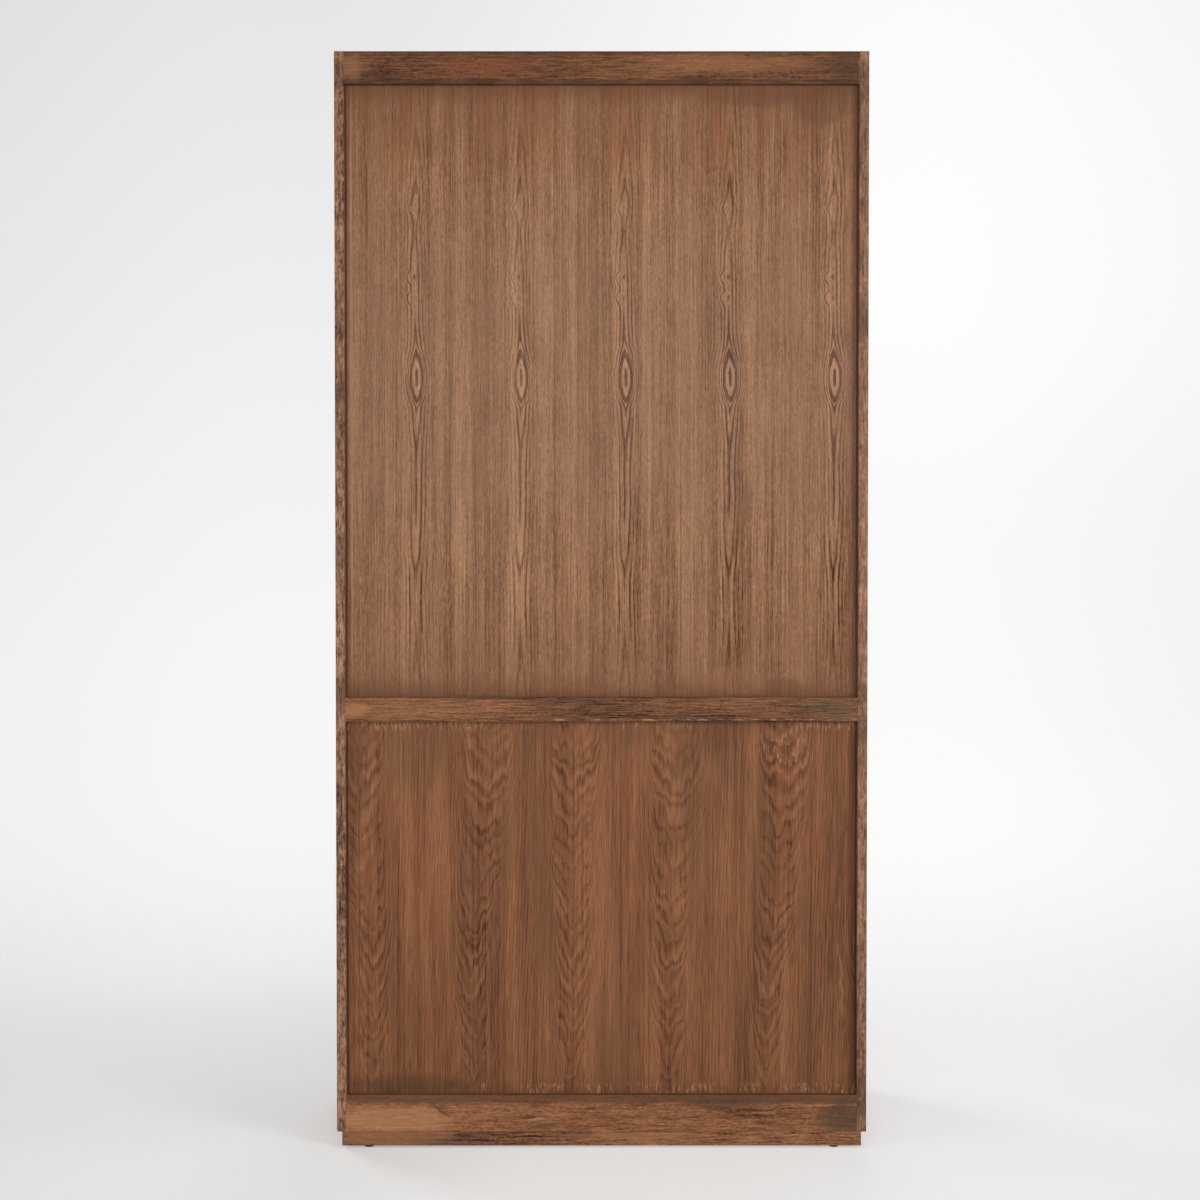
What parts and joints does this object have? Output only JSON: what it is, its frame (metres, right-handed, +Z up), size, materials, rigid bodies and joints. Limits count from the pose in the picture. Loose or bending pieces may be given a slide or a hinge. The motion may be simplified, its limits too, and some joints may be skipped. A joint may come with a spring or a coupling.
{
  "type": "cabinet",
  "caption": "Tall free-standing wooden cabinet with slatted doors above, panelled doors below, shelves inside and a framed back of two recessed veneered panels.",
  "frame": {"origin": "on the floor, under the middle of the cabinet's box", "axes": "+Z up, +Y out of the panelled back, so the doors face -Y"},
  "size_m": [1, 0.4681, 2.06],
  "materials": {
    "upper_veneer": "stained softwood veneer, dull, brushed stain",
    "lower_veneer": "stained ash veneer, dull",
    "side_wood": "stained and worn",
    "back_rail_wood": "stained and worn",
    "plinth_wood": "stained and worn",
    "front_rail_wood": "stained, rubbed with wax",
    "door_wood": "stained, rubbed with wax",
    "door_panel_wood": "stained, rubbed with wax",
    "deck_wood": "stained",
    "shelf_wood": "stained",
    "brass": "aged",
    "steel": "zinc plated",
    "glide_black": "moulded",
    "catch_plastic": "moulded"
  },
  "bodies": {
    "carcass": {"back_bottom_rail": "back_rail_wood", "back_middle_rail": "back_rail_wood", "back_panel_lower": "lower_veneer", "back_panel_upper": "upper_veneer", "back_top_rail": "back_rail_wood", "bottom_panel": "deck_wood", "door_catches": "catch_plastic", "floor_glides": "glide_black", "front_bottom_rail": "front_rail_wood", "front_middle_rail": "front_rail_wood", "front_top_rail": "front_rail_wood", "hinge_frame_leaves": "brass", "hinge_pins": "brass", "middle_deck": "deck_wood", "plinth_back": "plinth_wood", "plinth_front": "plinth_wood", "plinth_sides": "plinth_wood", "shelf_lower": "shelf_wood", "shelf_pins": "steel", "shelf_upper_high": "shelf_wood", "shelf_upper_low": "shelf_wood", "side_panel_left": "side_wood", "side_panel_right": "side_wood", "top_panel": "deck_wood"},
    "lower_left_door": {"lower_left_bottom_rail": "door_wood", "lower_left_hinge_leaves": "brass", "lower_left_hinge_stile": "door_wood", "lower_left_meeting_stile": "door_wood", "lower_left_panel": "door_panel_wood", "lower_left_pull_plate": "brass", "lower_left_strike_plate": "steel", "lower_left_top_rail": "door_wood"},
    "lower_left_drop": {"lower_left_pull": "brass"},
    "lower_right_door": {"lower_right_bottom_rail": "door_wood", "lower_right_hinge_leaves": "brass", "lower_right_hinge_stile": "door_wood", "lower_right_meeting_stile": "door_wood", "lower_right_panel": "door_panel_wood", "lower_right_pull_plate": "brass", "lower_right_strike_plate": "steel", "lower_right_top_rail": "door_wood"},
    "lower_right_drop": {"lower_right_pull": "brass"},
    "upper_left_door": {"upper_left_bottom_rail": "door_wood", "upper_left_hinge_leaves": "brass", "upper_left_hinge_stile": "door_wood", "upper_left_meeting_stile": "door_wood", "upper_left_pull_plate": "brass", "upper_left_slats": "door_wood", "upper_left_strike_plate": "steel", "upper_left_top_rail": "door_wood"},
    "upper_left_drop": {"upper_left_pull": "brass"},
    "upper_right_door": {"upper_right_bottom_rail": "door_wood", "upper_right_hinge_leaves": "brass", "upper_right_hinge_stile": "door_wood", "upper_right_meeting_stile": "door_wood", "upper_right_pull_plate": "brass", "upper_right_slats": "door_wood", "upper_right_strike_plate": "steel", "upper_right_top_rail": "door_wood"},
    "upper_right_drop": {"upper_right_pull": "brass"}
  },
  "joints": [
    {"name": "lower_left_door_hinge", "type": "hinge", "parent": "carcass", "child": "lower_left_door", "pos_m": [-0.481, -0.21935, 0.45325], "axis": [0, 0, -1], "range_deg": [0, 115]},
    {"name": "lower_right_door_hinge", "type": "hinge", "parent": "carcass", "child": "lower_right_door", "pos_m": [0.481, -0.21935, 0.45325], "axis": [0, 0, 1], "range_deg": [0, 115]},
    {"name": "upper_left_door_hinge", "type": "hinge", "parent": "carcass", "child": "upper_left_door", "pos_m": [-0.481, -0.21935, 1.426], "axis": [0, 0, -1], "range_deg": [0, 115]},
    {"name": "upper_right_door_hinge", "type": "hinge", "parent": "carcass", "child": "upper_right_door", "pos_m": [0.481, -0.21935, 1.426], "axis": [0, 0, 1], "range_deg": [0, 115]},
    {"name": "lower_left_pull_swing", "type": "hinge", "parent": "lower_left_door", "child": "lower_left_drop", "pos_m": [-0.023, -0.22845, 0.5855], "axis": [-1, 0, 0], "range_deg": [-6, 110]},
    {"name": "lower_right_pull_swing", "type": "hinge", "parent": "lower_right_door", "child": "lower_right_drop", "pos_m": [0.023, -0.22845, 0.5855], "axis": [-1, 0, 0], "range_deg": [-6, 110]},
    {"name": "upper_left_pull_swing", "type": "hinge", "parent": "upper_left_door", "child": "upper_left_drop", "pos_m": [-0.023, -0.22845, 1.2705], "axis": [-1, 0, 0], "range_deg": [-6, 110]},
    {"name": "upper_right_pull_swing", "type": "hinge", "parent": "upper_right_door", "child": "upper_right_drop", "pos_m": [0.023, -0.22845, 1.2705], "axis": [-1, 0, 0], "range_deg": [-6, 110]}
  ]
}
